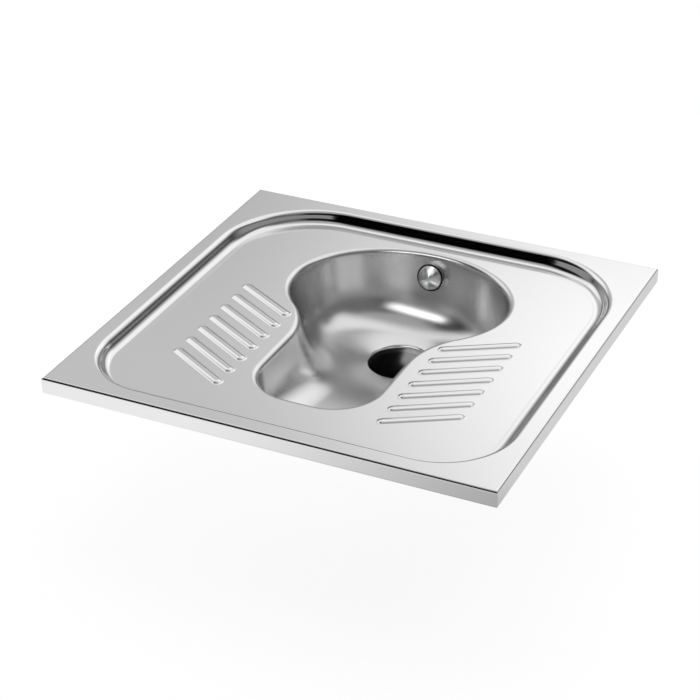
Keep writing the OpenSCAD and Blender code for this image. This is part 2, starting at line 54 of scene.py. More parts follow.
# ---- Camera and studio -------------------------------------------------------------
# The pan is photographed from its front right corner, a little above, with a long lens
# on a white table. Its steel mirrors the room round it: a grey to white back wall, a
# paler wall at the left and, behind the camera, a grey room with a dark doorway.
scene = bpy.context.scene
scene.view_settings.view_transform = "Standard"

focal_length, sensor_width = 103.53, 36
camera_right = Vector((0.90414, 0.42708, -0.01150))
camera_up = Vector((-0.20708, 0.46161, 0.86257))
camera_back = Vector((0.37369, -0.77751, 0.50580))
camera_place = Vector((0.955186, -2.027724, 1.293847))

lens = bpy.data.cameras.new("camera")
lens.sensor_width = sensor_width
lens.lens = focal_length
camera = bpy.data.objects.new("camera", lens)
scene.collection.objects.link(camera)
turn = Matrix((camera_right, camera_up, camera_back)).transposed()
camera.matrix_world = Matrix.Translation(camera_place) @ turn.to_4x4()
scene.camera = camera


def add_node(tree, kind, inputs=None, **settings):
    """Add a node, set its options, and set or link its sockets."""
    node = tree.nodes.new("ShaderNode" + kind)
    for name, value in settings.items():
        setattr(node, name, value)
    for name, value in (inputs or {}).items():
        socket = node.inputs[name]
        if isinstance(value, bpy.types.NodeSocket):
            tree.links.new(value, socket)
        else:
            socket.default_value = value
    return node


def math_node(tree, operation, a, b=0.0, c=0.0):
    return add_node(tree, "Math", {0: a, 1: b, 2: c}, operation=operation).outputs[0]


def times(tree, first, *others):
    """Multiply values together."""
    for other in others:
        first = math_node(tree, "MULTIPLY", first, other)
    return first


def brighter(tree, a, b):
    """The larger of two values."""
    return math_node(tree, "MAXIMUM", a, b)


def blend(tree, share, a, b):
    """Go from a to b by a share."""
    return math_node(tree, "MULTIPLY_ADD", share, math_node(tree, "SUBTRACT", b, a), a)


def spread(tree, value, start=0.0, end=1.0, low=0.0, high=1.0, how="LINEAR"):
    """Spread a value from low at start to high at end."""
    node = add_node(tree, "MapRange", {"Value": value, "From Min": start, "From Max": end,
                                       "To Min": low, "To Max": high}, interpolation_type=how)
    return node.outputs[0]


def ease(tree, value, start, end, low=0.0, high=1.0):
    """Spread a value smoothly."""
    return spread(tree, value, start, end, low, high, "SMOOTHSTEP")


def ease_deg(tree, angle, span, low=0.0, high=1.0):
    """Spread a value smoothly across a span of degrees."""
    return ease(tree, angle, radians(span[0]), radians(span[1]), low, high)


def between(tree, angle, rise, fall):
    """One inside a range of angles and nothing outside it."""
    return times(tree, ease_deg(tree, angle, rise), ease_deg(tree, angle, fall, 1.0, 0.0))


# The room's light follows the bearing, in degrees clockwise from the middle of the back
# wall, and the height, in degrees above the horizon
studio = bpy.data.worlds.new("studio")
scene.world = studio
studio.use_nodes = True
tree = studio.node_tree
tree.nodes.clear()
way = add_node(tree, "TexCoord").outputs["Generated"]
axis = add_node(tree, "SeparateXYZ", {0: way}).outputs
bearing = math_node(tree, "ARCTAN2", axis["X"], axis["Y"])
height = math_node(tree, "ARCSINE", axis["Z"])

# The back wall is grey at its left, white in its middle and dim at its right, and a paler
# wall stands to its left. Both are darker low down and a little darker high up.
walls_from, walls_to = (-102, -78), (134, 158)
grey_to_white, back_grey, back_white = (-31, -16), 0.63, 1.22
white_to_dim, right_dim = (14, 48), 0.14
pale_to_grey, left_pale = (-56, -40), 1.15
low_rise, low_light = (8, 20), 0.25
middle_rise, middle_light = (24, 31), 0.75
high_fall, high_light = (31, 35), 0.85
back_wall = times(tree, ease_deg(tree, bearing, grey_to_white, back_grey, back_white),
                  ease_deg(tree, bearing, white_to_dim, 1.0, right_dim))
left_wall = ease_deg(tree, bearing, pale_to_grey, left_pale, 0.0)
wall_light = times(tree, brighter(tree, back_wall, left_wall),
                   ease_deg(tree, height, middle_rise, middle_light, 1.0),
                   ease_deg(tree, height, low_rise, low_light, 1.0),
                   ease_deg(tree, height, high_fall, 1.0, high_light),
                   between(tree, bearing, walls_from, walls_to))

# Behind the camera the room is grey up to head height, with a dark doorway in it
door_from, door_to, front_from = (-179, -174), (-148, -142), (40, 70)
head_height, room_grey, room_dark = (20, 29), 0.27, 0.006
doorway = between(tree, bearing, door_from, door_to)
back_half = between(tree, bearing, walls_from, front_from)
elsewhere = math_node(tree, "SUBTRACT", 1.0, brighter(tree, doorway, back_half))
grey_room = times(tree, ease_deg(tree, height, head_height, room_grey, room_dark), elsewhere)
wall_light = brighter(tree, wall_light, grey_room)

# The ceiling comes lower over the back wall, where it is bright, and is grey elsewhere
over_back_from, over_back_to, over_back_rise, ceiling_rise = -0.15, 0.12, (41, 50), (54, 65)
ceiling_from, ceiling_to, ceiling_grey, ceiling_white = -0.15, 0.30, 0.40, 0.95
over_back = times(tree, ease(tree, axis["Y"], over_back_from, over_back_to),
                  ease_deg(tree, height, over_back_rise))
ceiling = brighter(tree, over_back, ease_deg(tree, height, ceiling_rise))
ceiling_light = times(tree, ceiling, ease(tree, axis["Y"], ceiling_from, ceiling_to,
                                          ceiling_grey, ceiling_white))
below_ceiling = math_node(tree, "SUBTRACT", 1.0, ceiling)
room = math_node(tree, "MULTIPLY_ADD", wall_light, below_ceiling, ceiling_light)

# Below the horizon the white table carries on, and the camera itself sees only white
horizon = (-4, 1)
room_light = blend(tree, ease_deg(tree, height, horizon), 1.0, room)
seen = add_node(tree, "LightPath").outputs["Is Camera Ray"]
strength = blend(tree, seen, room_light, 1.0)
backdrop = add_node(tree, "Background", {"Color": (1, 1, 1, 1), "Strength": strength})
tree.links.new(backdrop.outputs[0], add_node(tree, "OutputWorld").inputs["Surface"])

# Over the camera's left shoulder hang a bright strip box and a large dim one behind it,
# which light only the bowl and the cap. A small spot beside them gives the turned cap its
# sharp fans of light. Their bearings and heights are in degrees from the bowl's middle.
bowl_middle = Vector((0.02, 0.14, -0.05))
strip_wide, strip_high, strip_watts = 2.3, 0.6, 8.5
strip_bearing, strip_height, strip_distance = -163, 45, 2.4
dim_wide, dim_high, dim_watts = 2.4, 1.9, 2.4
dim_bearing, dim_height, dim_distance = -158, 36, 2.6
spot_watts, spot_r, spot_cone = 60, 0.09, 12
spot_bearing, spot_height, spot_distance = -162, 45, 2.4


def box_lamp(name, wide, high, watts):
    data = bpy.data.lights.new(name, "AREA")
    data.shape = "RECTANGLE"
    data.size, data.size_y, data.energy = wide, high, watts
    return data


def hang_lamp(data, place, away, lit):
    """Hang a lamp with its back to a direction, lighting only what its collection holds."""
    lamp = bpy.data.objects.new(data.name, data)
    scene.collection.objects.link(lamp)
    lamp.visible_camera = False
    turned = away.to_track_quat("Z", "Y").to_matrix().to_4x4()
    lamp.matrix_world = Matrix.Translation(place) @ turned
    lamp.light_linking.receiver_collection = lit


def hang_in_room(data, bearing, height, distance, lit):
    """Hang a lamp in a direction from the bowl and turn it to the bowl."""
    round_by, up_by = radians(bearing), radians(height)
    way = Vector((sin(round_by) * cos(up_by), cos(round_by) * cos(up_by), sin(up_by)))
    hang_lamp(data, bowl_middle + distance * way, way, lit)


inside_bowl = bpy.data.collections.new("lit_inside_bowl")
cap_only = bpy.data.collections.new("lit_cap_only")
hang_in_room(box_lamp("strip_box", strip_wide, strip_high, strip_watts),
             strip_bearing, strip_height, strip_distance, inside_bowl)
hang_in_room(box_lamp("dim_box", dim_wide, dim_high, dim_watts),
             dim_bearing, dim_height, dim_distance, inside_bowl)
cap_spot = bpy.data.lights.new("cap_spot", "SPOT")
cap_spot.energy, cap_spot.shadow_soft_size = spot_watts, spot_r
cap_spot.spot_size = radians(spot_cone)
hang_in_room(cap_spot, spot_bearing, spot_height, spot_distance, cap_only)

# A small lamp down the waste pipe gives the spigot's inner wall and the drain's edge their
# sheen
pipe_lamp_side, pipe_lamp_watts = 0.036, 0.0017
pipe_lamp_place = Vector((-0.019, 0.115, -0.138))
pipe_lamp_away = Vector((-0.55, -0.66, -0.51))
in_pipe = bpy.data.collections.new("lit_in_pipe")
hang_lamp(box_lamp("pipe_lamp", pipe_lamp_side, pipe_lamp_side, pipe_lamp_watts),
          pipe_lamp_place, pipe_lamp_away, in_pipe)

# The white table that the pan's waste spigot stands on. Under the spigot a black disc is
# painted on it as painted shade for the inside of the waste pipe. It is white to the camera
# and keeps the pan's shadow. In the metal it shows paler at the left and at the back than
# at the front right.
table_half, floor_z = 6.0, cad_box[0][2]
# Centre and soft edge of the black disc painted under the spigot as shade for the waste pipe
dark_disc_centre, dark_disc_inside, dark_disc_outside = (0, 0.115, floor_z), 0.0430, 0.0435
paper_grain, paper_dark, paper_light, paper_glow = 40.0, 0.29, 0.31, 0.88
left_x, right_x, left_glow, right_glow = -0.30, 0.30, 0.84, 0.30
front_y, back_y, back_glow = -0.25, 0.10, 0.58


def new_object(name, bm):
    """Make a finished bmesh an object at the origin."""
    mesh = bpy.data.meshes.new(name)
    bm.to_mesh(mesh)
    bm.free()
    made = bpy.data.objects.new(name, mesh)
    scene.collection.objects.link(made)
    return made


def new_material(name):
    """A material with an empty tree, its tree and its surface socket."""
    material = bpy.data.materials.new(name)
    material.use_nodes = True
    tree = material.node_tree
    tree.nodes.clear()
    surface = add_node(tree, "OutputMaterial").inputs["Surface"]
    return material, tree, surface


def on_piece(tree):
    """The piece's own coordinates."""
    return add_node(tree, "TexCoord").outputs["Object"]


def noise(tree, where, scale, detail, rough=0.5):
    """Uneven patches, from nothing to one."""
    node = add_node(tree, "TexNoise", {"Vector": where, "Scale": scale, "Detail": detail,
                                       "Roughness": rough})
    return node.outputs["Fac"]


bm = bmesh.new()
bmesh.ops.create_grid(bm, x_segments=1, y_segments=1, size=table_half)
bmesh.ops.translate(bm, verts=bm.verts, vec=(0, 0, floor_z))
table = new_object("studio_floor", bm)
paper, tree, surface = new_material("white_paper")
where = on_piece(tree)
# Painted shade: inside this disc under the spigot the table is black and gives no light, standing
# in for the shade down the waste pipe
from_dark_disc = add_node(tree, "VectorMath", {0: where, 1: dark_disc_centre}, operation="DISTANCE")
outside_dark_disc = ease(tree, from_dark_disc.outputs["Value"], dark_disc_inside, dark_disc_outside)
grain = noise(tree, where, scale=paper_grain, detail=3.0)
tone = spread(tree, grain, low=paper_dark, high=paper_light)
matt = add_node(tree, "BsdfDiffuse", {"Color": times(tree, tone, outside_dark_disc)})
rays = add_node(tree, "LightPath").outputs
on_table = add_node(tree, "SeparateXYZ", {0: where}).outputs
across = ease(tree, on_table["X"], left_x, right_x, left_glow, right_glow)
along = ease(tree, on_table["Y"], front_y, back_y, 0.0, back_glow)
reflected = brighter(tree, rays["Is Glossy Ray"], rays["Is Transmission Ray"])
in_metal = times(tree, brighter(tree, across, along), reflected)
direct = math_node(tree, "MULTIPLY_ADD", rays["Is Camera Ray"], paper_glow, in_metal)
glow = add_node(tree, "Emission", {"Strength": times(tree, direct, outside_dark_disc)})
both = add_node(tree, "AddShader", {0: matt.outputs[0], 1: glow.outputs[0]})
tree.links.new(both.outputs[0], surface)
table.data.materials.append(paper)

# ---- Deck --------------------------------------------------------------------------
# One pressed sheet of stainless steel: the return flange, the apron, the flat rim, the
# sunken foot area and its slanted ribs are all the same 1.5 mm of metal. The apron is
# folded down on a brake, so its corners are mitred and welded.
mm = 0.001
plate_x, plate_y, apron_h = 300 * mm, 290 * mm, 23 * mm
sheet_t, flange_w = 1.5 * mm, 15 * mm
fold_r, lower_fold_steps, upper_fold_steps = 3.5 * mm, 6, 8
foot_x, foot_front, foot_back, foot_depth = 280.5 * mm, -270 * mm, 273 * mm, 16 * mm
front_corner_r, back_corner_r = 98 * mm, 135 * mm
wall_bend_r, wall_foot_r, wall_angle = 9 * mm, 11.5 * mm, radians(68)
wall_bend_steps, wall_foot_steps = 12, 14
rib_count, rib_pitch, rib_run, rib_angle = 7, 31 * mm, 92 * mm, radians(30)
rib_w, rib_h, rib_x, rib_y = 13 * mm, 3 * mm, 152 * mm, 23 * mm
# Way out from a rib's side and height over the field of the rings at its soft foot
rib_foot = ((1.5 * mm, 0.0), (0.9 * mm, 0.06 * mm), (0.3 * mm, 0.27 * mm))
crown_rings, crown_start, crown_step, crown_least_r = 13, 0.83, 0.065, 0.6 * mm
# A ring this far inside each flat's edge keeps the flat's shading even
flat_step = 0.3 * mm
# The field lies a hair lower than the strip round it, and falls to that in these rings
strip_w, strip_fall = 4 * mm, 0.07 * mm
strip_rings = ((0.4 * mm, 0.2), (1.0 * mm, 0.8), (1.4 * mm, 1.0))
# The opening that the bowl hangs in
lobe_a, lobe_b, lobe_y = 156.5 * mm, 127.5 * mm, 111 * mm
channel_half, channel_front, channel_corner_r = 87 * mm, 192.5 * mm, 67 * mm
neck_r = 110 * mm
lobe_steps, neck_steps, side_steps, corner_steps, front_steps = 72, 20, 12, 20, 4
halvings, on_line = 40, 0.001 * mm
deck_colour, deck_rough = (0.852, 0.852, 0.852), 0.125


def pairs_of(ring):
    return zip(ring, ring[1:] + ring[:1])


def ring_of(bm, points):
    """Start a closed ring of edges."""
    ring = [bm.verts.new(p) for p in points]
    for a, b in pairs_of(ring):
        bm.edges.new((a, b))
    return ring


def ring_edges(bm, ring):
    return [bm.edges.get(pair) for pair in pairs_of(ring)]


def extrude_ring(bm, ring, points):
    """Extrude a ring and set the new ring's points in place."""
    made = bmesh.ops.extrude_edge_only(bm, edges=ring_edges(bm, ring))["geom"]
    new = {v for v in made if isinstance(v, bmesh.types.BMVert)}
    after = [next(e.other_vert(v) for e in v.link_edges if e.other_vert(v) in new) for v in ring]
    for v, p in zip(after, points):
        v.co = p
    return after


def bend(r, start, end, steps):
    """Points of a bend's section round its centre."""
    angles = [start + (end - start) * k / steps for k in range(steps + 1)]
    return [(r * cos(a), r * sin(a)) for a in angles]


def plate_ring(inset, z):
    """Outline of the plate, set inwards."""
    x, y = plate_x - inset, plate_y - inset
    return [Vector((x, -y, z)), Vector((x, y, z)), Vector((-x, y, z)), Vector((-x, -y, z))]


def foot_ring(inset, z, steps=28):
    """Outline of the sunken area, set inwards, with its wide back and narrower front corners."""
    corners = [
        (foot_x - front_corner_r, foot_front + front_corner_r, front_corner_r, -90),
        (foot_x - back_corner_r, foot_back - back_corner_r, back_corner_r, 0),
        (-foot_x + back_corner_r, foot_back - back_corner_r, back_corner_r, 90),
        (-foot_x + front_corner_r, foot_front + front_corner_r, front_corner_r, 180)]
    points = []
    for x, y, r, start in corners:
        for dx, dy in bend(r - inset, radians(start), radians(start + 90), steps):
            points.append(Vector((x + dx, y + dy, z)))
    return points


def on_mitre(v):
    """Whether a point lies where two sides of the apron meet."""
    return abs(abs(v.co.x) - plate_x - abs(v.co.y) + plate_y) < on_line


bm = bmesh.new()
# Return flange, lower fold, apron and upper fold
ring = ring_of(bm, plate_ring(flange_w, 0))
ring = extrude_ring(bm, ring, plate_ring(fold_r + flat_step, 0))
for dx, dz in bend(fold_r, radians(-90), 0, lower_fold_steps):
    ring = extrude_ring(bm, ring, plate_ring(fold_r - dx, fold_r + dz))
ring = extrude_ring(bm, ring, plate_ring(0, fold_r + flat_step))
ring = extrude_ring(bm, ring, plate_ring(0, apron_h - fold_r - flat_step))
for dx, dz in bend(fold_r, 0, radians(90), upper_fold_steps):
    ring = extrude_ring(bm, ring, plate_ring(fold_r - dx, apron_h - fold_r + dz))
rim_outside = extrude_ring(bm, ring, plate_ring(fold_r + flat_step, apron_h))
for edge in bm.edges:
    edge.smooth = not all(on_mitre(v) for v in edge.verts)

# Wall of the sunken area: a bend down, a short straight and a wider bend to the flat
bends_r = wall_bend_r + wall_foot_r
wall_straight = (foot_depth - bends_r * (1 - cos(wall_angle))) / sin(wall_angle)
wall_run = bends_r * sin(wall_angle) + wall_straight * cos(wall_angle)
deck_z = apron_h - foot_depth
rim_inside = ring_of(bm, foot_ring(-flat_step, apron_h))
ring = rim_inside
for dy, dx in bend(wall_bend_r, 0, wall_angle, wall_bend_steps):
    ring = extrude_ring(bm, ring, foot_ring(dx, apron_h - wall_bend_r + dy))
for dy, dx in bend(wall_foot_r, wall_angle, 0, wall_foot_steps):
    ring = extrude_ring(bm, ring, foot_ring(wall_run - dx, deck_z + wall_foot_r - dy))
ring = extrude_ring(bm, ring, foot_ring(wall_run + flat_step, deck_z))
ring = extrude_ring(bm, ring, foot_ring(wall_run + strip_w, deck_z))
for run, share in strip_rings:
    field_z = deck_z - share * strip_fall
    ring = extrude_ring(bm, ring, foot_ring(wall_run + strip_w + run, field_z))
field_outside = extrude_ring(bm, ring, foot_ring(wall_run + strip_w + run + flat_step, field_z))

# Ribs: a rounded bead carried straight and turned at both ends, with a soft foot
rib_r = (rib_w ** 2 / 4 + rib_h ** 2) / (2 * rib_h)
rib_side = radians(90) - atan2(rib_r - rib_h, rib_w / 2)


def stadium(centre, angle, r, z, steps=14):
    """Outline of a rib: half circles of radius r round both ends of its spine."""
    along = Vector((cos(angle), sin(angle), 0))
    points = []
    for side in (1, -1):
        end = centre + side * along * rib_run / 2
        for k in range(steps + 1):
            turned = angle + (0 if side == 1 else pi) - pi / 2 + pi * k / steps
            points.append(end + Vector((r * cos(turned), r * sin(turned), z)))
    return points


rib_feet = []
for side in (-1, 1):
    for k in range(rib_count):
        centre = Vector((side * rib_x, rib_y - k * rib_pitch, 0))
        slant = side * rib_angle
        outside_r = rib_w / 2 + rib_foot[0][0] + flat_step
        rib_feet.append(ring_of(bm, stadium(centre, slant, outside_r, field_z)))
        ring = rib_feet[-1]
        for out, up in rib_foot:
            ring = extrude_ring(bm, ring, stadium(centre, slant, rib_w / 2 + out, field_z + up))
        for j in range(crown_rings):
            a = rib_side * (crown_start - j * crown_step)
            r, z = rib_r * sin(a), deck_z + rib_h - rib_r + rib_r * cos(a)
            if r > crown_least_r:
                ring = extrude_ring(bm, ring, stadium(centre, slant, r, z))
        bmesh.ops.contextual_create(bm, geom=ring_edges(bm, ring))


# Opening: an oval lobe at the back, necked in to a straight channel with rounded corners
def lobe_point(t):
    """A point of the oval lobe."""
    return Vector((lobe_a * cos(t), lobe_y + lobe_b * sin(t)))


def lobe_normal(t):
    return Vector((lobe_b * cos(t), lobe_a * sin(t))).normalized()


# The neck's arc starts where it also meets the channel's straight side
low, high = radians(-89), 0.0
for _ in range(halvings):
    neck_t = (low + high) / 2
    if (lobe_point(neck_t) + neck_r * lobe_normal(neck_t)).x > channel_half + neck_r:
        high = neck_t
    else:
        low = neck_t
neck_c = lobe_point(neck_t) + neck_r * lobe_normal(neck_t)
neck_a = atan2(-lobe_normal(neck_t).y, -lobe_normal(neck_t).x)
corner_c = Vector((channel_half - channel_corner_r, channel_corner_r - channel_front))

# Right half of the opening's outline with its outward normals, back to front
half = []
for k in range(lobe_steps + 1):
    t = pi / 2 + (neck_t - pi / 2) * k / lobe_steps
    half.append((lobe_point(t), lobe_normal(t)))
for k in range(1, neck_steps + 1):
    a = neck_a + (pi - neck_a) * k / neck_steps
    half.append((neck_c + neck_r * Vector((cos(a), sin(a))), Vector((-cos(a), -sin(a)))))
for k in range(1, side_steps + 1):
    y = neck_c.y + (corner_c.y - neck_c.y) * k / side_steps
    half.append((Vector((channel_half, y)), Vector((1, 0))))
for k in range(1, corner_steps + 1):
    a = -pi / 2 * k / corner_steps
    half.append((corner_c + channel_corner_r * Vector((cos(a), sin(a))), Vector((cos(a), sin(a)))))
for k in range(1, front_steps + 1):
    half.append((Vector((corner_c.x * (1 - k / front_steps), -channel_front)), Vector((0, -1))))
mirrored = [(Vector((-p.x, p.y)), Vector((-n.x, n.y))) for p, n in half[-2:0:-1]]
outline = half + mirrored


def edge_ring(inset, z):
    """The opening's outline, set inwards."""
    return [Vector((p.x - n.x * inset, p.y - n.y * inset, z)) for p, n in outline]


# The deck's flats are filled between their outlines, the opening and the ribs
opening_edge = ring_of(bm, edge_ring(0, field_z))
opening_flat = extrude_ring(bm, opening_edge, edge_ring(-flat_step, field_z))
rim_edges = ring_edges(bm, rim_outside) + ring_edges(bm, rim_inside)
bmesh.ops.triangle_fill(bm, use_beauty=True, edges=rim_edges, normal=(0, 0, 1))
field_edges = ring_edges(bm, field_outside) + ring_edges(bm, opening_flat)
for foot in rib_feet:
    field_edges += ring_edges(bm, foot)
bmesh.ops.triangle_fill(bm, use_beauty=True, edges=field_edges, normal=(0, 0, 1))


def smooth_faces(bm):
    for face in bm.faces:
        face.smooth = True


def face_up(bm, test):
    """Turn every face of a sheet the same way, with the face that test picks upwards."""
    bmesh.ops.recalc_face_normals(bm, faces=bm.faces)
    picked = max(bm.faces, key=test)
    if picked.normal.z < 0:
        bmesh.ops.reverse_faces(bm, faces=bm.faces)


def give_thickness(piece):
    """Give a sheet its metal, behind its faces."""
    metal = piece.modifiers.new("sheet", "SOLIDIFY")
    metal.thickness = sheet_t
    metal.offset = -1


smooth_faces(bm)
face_up(bm, lambda f: f.calc_center_median().z * f.normal.z ** 2)
deck = new_object("pressed_deck", bm)
give_thickness(deck)


def bumps(tree, raised, strength, distance):
    """Small unevenness of a surface."""
    return add_node(tree, "Bump", {"Height": raised, "Strength": strength,
                                   "Distance": distance}).outputs[0]


def satin_steel(name, colour, rough, uneven, grain, streak=(1, 1, 1), fineness=900.0):
    """Polished satin stainless: fine unevenness in its gloss and a barely visible grain."""
    material, tree, surface = new_material(name)
    where = on_piece(tree)
    cloud = noise(tree, where, scale=14.0, detail=4.0, rough=0.6)
    lined = add_node(tree, "Mapping", {"Vector": where, "Scale": streak}).outputs[0]
    fine = noise(tree, lined, scale=fineness, detail=3.0, rough=0.55)
    mixed = math_node(tree, "MULTIPLY_ADD", fine, 0.5, times(tree, cloud, 0.5))
    gloss = spread(tree, mixed, start=0.3, end=0.7, low=rough - uneven, high=rough + uneven)
    tint = spread(tree, mixed, start=0.3, end=0.7, low=-0.015, high=0.015)
    shade = add_node(tree, "VectorMath", {0: colour, 1: tint}, operation="ADD").outputs[0]
    steel = add_node(tree, "BsdfPrincipled", {
        "Base Color": shade, "Metallic": 1.0, "Roughness": gloss,
        "Normal": bumps(tree, fine, strength=grain, distance=0.00005)})
    tree.links.new(steel.outputs[0], surface)
    return material


deck.data.materials.append(satin_steel("satin_deck_sheet", deck_colour, deck_rough,
                                       uneven=0.015, grain=0.02))
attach(deck, "root")
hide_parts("deck")

# ---- Bowl --------------------------------------------------------------------------
# Deep drawn from the same sheet as a keyhole: a round lobe over the drain and a channel
# towards the front. Its edge is rolled over into the deck, its floor falls to the drain,
# and the drain's edge is turned down into a short collar that the spigot is welded to.
lip_r, bowl_wall_angle, bowl_reach, curve_pull = 7.5 * mm, radians(80), 55 * mm, 0.62
seam_w, lip_steps, wall_steps, floor_steps, drain_steps = 0.05 * mm, 10, 28, 16, 10
drain, drain_z = Vector((0, 115 * mm)), -99.7 * mm
floor_angle, floor_ease = radians(20), 300 * mm
drain_lip_r, collar_len, outlet_inner_r = 5 * mm, 6 * mm, 42.45 * mm
inlet_z, inlet_r = -23.5 * mm, 17.65 * mm
hole_len, hole_y, hole_sides = 80 * mm, 245 * mm, 96
bowl_crease = radians(35)
bowl_colour, bowl_rough = (0.802, 0.802, 0.802), 0.24
drain_bend_r = outlet_inner_r + drain_lip_r
drain_edge_r = drain_bend_r - drain_lip_r * sin(floor_angle)
lip_run, lip_drop = lip_r * sin(bowl_wall_angle), lip_r * (1 - cos(bowl_wall_angle))


def slope_at(q):
    d = (q - drain).length - drain_edge_r
    return tan(floor_angle) / (1 + d / floor_ease) ** 2


def floor_z_at(q):
    d = (q - drain).length - drain_edge_r
    return drain_z + tan(floor_angle) * d / (1 + d / floor_ease)


def wall_section(p, n):
    """Cubic section of the bowl's wall from the rolled edge to the floor."""
    top = Vector((lip_run, field_z - lip_drop))
    q = p - n * (lip_run + bowl_reach)
    foot = Vector((lip_run + bowl_reach, floor_z_at(q)))
    fall = -slope_at(q) * (q - drain).dot(n) / (q - drain).length
    drop = top.y - foot.y
    return (top, top + curve_pull * drop * Vector((cos(bowl_wall_angle), -sin(bowl_wall_angle))),
            foot - curve_pull * bowl_reach * Vector((1, fall)), foot)


def section_point(c, t):
    s = 1 - t
    return s ** 3 * c[0] + 3 * s ** 2 * t * c[1] + 3 * s * t * t * c[2] + t ** 3 * c[3]


sections = [wall_section(p, n) for p, n in outline]
drain_ways = [(p - n * (lip_run + bowl_reach) - drain).normalized() for p, n in outline]


def wall_ring(t):
    points = []
    for (p, n), c in zip(outline, sections):
        s = section_point(c, t)
        points.append(Vector((p.x - n.x * s.x, p.y - n.y * s.x, s.y)))
    return points


def floor_ring(share):
    points = []
    for (p, n), way in zip(outline, drain_ways):
        from_wall, to_drain = p - n * (lip_run + bowl_reach), drain + drain_edge_r * way
        q = from_wall * (1 - share) + to_drain * share
        points.append(Vector((q.x, q.y, floor_z_at(q))))
    return points


def drain_ring(r, z):
    return [Vector((drain.x + r * way.x, drain.y + r * way.y, z)) for way in drain_ways]


bm = bmesh.new()
ring = ring_of(bm, edge_ring(0, field_z))
ring = extrude_ring(bm, ring, edge_ring(seam_w, field_z))
for dz, dx in bend(lip_r, 0, bowl_wall_angle, lip_steps)[1:]:
    ring = extrude_ring(bm, ring, edge_ring(dx, field_z - lip_r + dz))
for k in range(1, wall_steps + 1):
    ring = extrude_ring(bm, ring, wall_ring(k / wall_steps))
for k in range(1, floor_steps + 1):
    ring = extrude_ring(bm, ring, floor_ring(k / floor_steps))
turn_z = drain_z - drain_lip_r * cos(floor_angle)
for dr, dz in bend(drain_lip_r, radians(90) - floor_angle, 0, drain_steps)[1:]:
    ring = extrude_ring(bm, ring, drain_ring(drain_bend_r - dr, turn_z + dz))
ring = extrude_ring(bm, ring, drain_ring(outlet_inner_r, turn_z - flat_step))
ring = extrude_ring(bm, ring, drain_ring(outlet_inner_r, turn_z - collar_len))
smooth_faces(bm)
face_up(bm, lambda f: f.normal.z ** 2)
bowl = new_object("drawn_bowl", bm)
give_thickness(bowl)

# The inlet tube's hole through the back wall is cut with a round tool
bm = bmesh.new()
bmesh.ops.create_cone(bm, cap_ends=True, segments=hole_sides, radius1=inlet_r,
                      radius2=inlet_r, depth=hole_len)
bmesh.ops.rotate(bm, verts=bm.verts, cent=(0, 0, 0), matrix=Matrix.Rotation(radians(90), 3, "X"))
bmesh.ops.translate(bm, verts=bm.verts, vec=(0, hole_y, inlet_z))
tool = new_object("hole_tool", bm)
hole = bowl.modifiers.new("hole", "BOOLEAN")
hole.operation = "DIFFERENCE"
hole.solver = "MANIFOLD"
hole.object = tool
drilled = bowl.evaluated_get(bpy.context.evaluated_depsgraph_get())
finished = bpy.data.meshes.new_from_object(drilled)
bowl.modifiers.clear()
bowl.data = finished
bpy.data.objects.remove(tool)


def crease(bm, angle):
    """Shade smoothly over every edge that turns by less than an angle."""
    for edge in bm.edges:
        edge.smooth = edge.calc_face_angle(0) < angle


bm = bmesh.new()
bm.from_mesh(bowl.data)
crease(bm, bowl_crease)
bm.to_mesh(bowl.data)
bm.free()
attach(bowl, "root")
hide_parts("bowl")
inside_bowl.objects.link(bowl)
in_pipe.objects.link(bowl)


bowl.data.materials.clear()
bowl.data.materials.append(satin_steel("satin_bowl_sheet", bowl_colour, bowl_rough,
                                       uneven=0.02, grain=0.02,
                                       streak=(1, 1, 0.06), fineness=260.0))

# ---- Spreader cap ------------------------------------------------------------------
# A cap turned from solid stainless bar and polished on the lathe, so its gloss runs in
# fine rings. It screws on the stud in the flush inlet and turns the water sideways.
cap_r, cap_h, cap_skirt, cap_wall, cap_base = 19.25 * mm, 14.5 * mm, 5 * mm, 1.5 * mm, 4 * mm
groove_w, groove_depth, lip_w, lip_below = 1.5 * mm, 2.0 * mm, 0.9 * mm, 1.5 * mm
face_edge, face_turn, face_turn_fall, face_fall = 0.3 * mm, 0.08 * mm, 0.22 * mm, 0.5 * mm
lip_round, lip_fall, band_h, foot_in, foot_round = 0.2 * mm, 0.6 * mm, 1.2 * mm, 3.2 * mm, 0.3 * mm
lip_crown, lip_turn = 0.6, 0.25
boss_r, boss_len, stud_hole_r, stud_hole_end = 5.5 * mm, 4.5 * mm, 3.1 * mm, 1 * mm
dome_steps, hollow_steps, spin_steps, cap_crease = 24, 10, 96, radians(40)
# How far the groove's painted shade reaches below the lip and above the face, and how softly it
# ends
groove_shade_below, groove_shade_above, groove_shade_soft = 0.7 * mm, 0.3 * mm, 0.01
dome_h = cap_h - cap_skirt
dome_r = (cap_r ** 2 + dome_h ** 2) / (2 * dome_h)
top_z = cap_base + cap_h
inner_top = top_z - cap_wall


def dome_points(skin, r_from, r_to, steps):
    points = []
    for k in range(steps + 1):
        r = r_from + (r_to - r_from) * k / steps
        points.append((r, top_z - dome_r + sqrt((dome_r - skin) ** 2 - r * r)))
    return points


